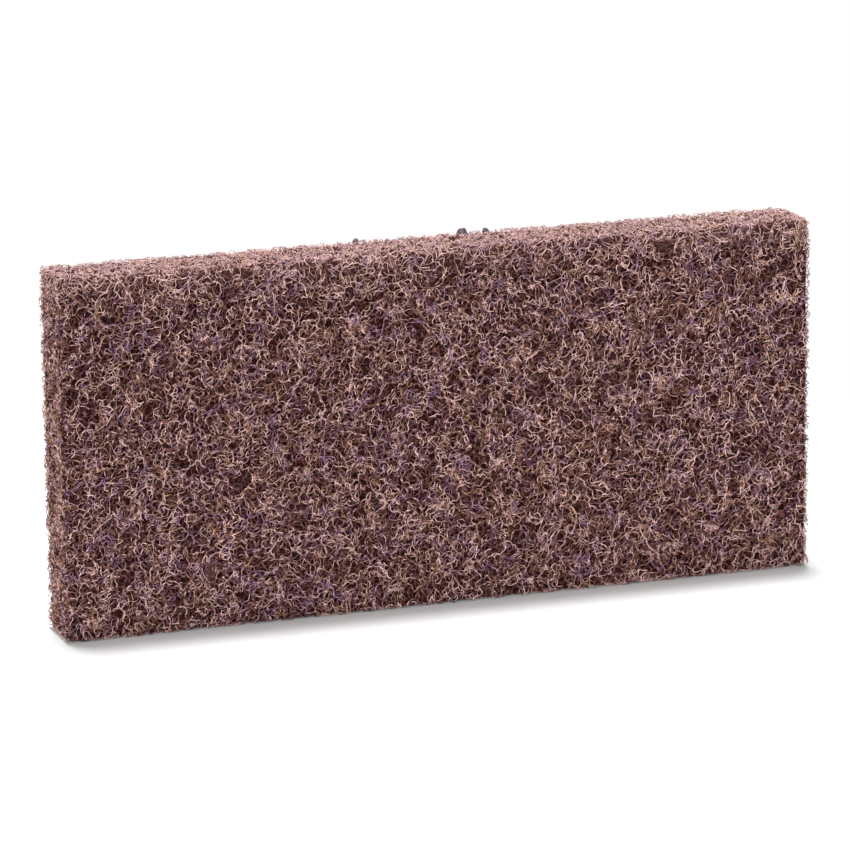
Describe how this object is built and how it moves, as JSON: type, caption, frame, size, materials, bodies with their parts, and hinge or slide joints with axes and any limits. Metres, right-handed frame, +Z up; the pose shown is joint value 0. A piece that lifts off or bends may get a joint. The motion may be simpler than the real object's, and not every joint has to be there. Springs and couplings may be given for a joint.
{
  "type": "utility scrubbing pad",
  "caption": "Rectangular scrubbing pad of open brown nonwoven web: wiry fibres bonded where they cross, with pits between them and frayed cut edges.",
  "frame": {"origin": "middle of the pad's footprint, on the surface that its long cut edge stands on", "axes": "+X along the pad, +Y through its thickness away from the face in view, +Z up its height"},
  "size_m": [0.254, 0.023, 0.1175],
  "materials": {
    "web": "coarse brown nylon fibres in a dull resin with abrasive grain"
  },
  "bodies": {
    "root": {"scrubbing_pad": "web"}
  },
  "joints": []
}
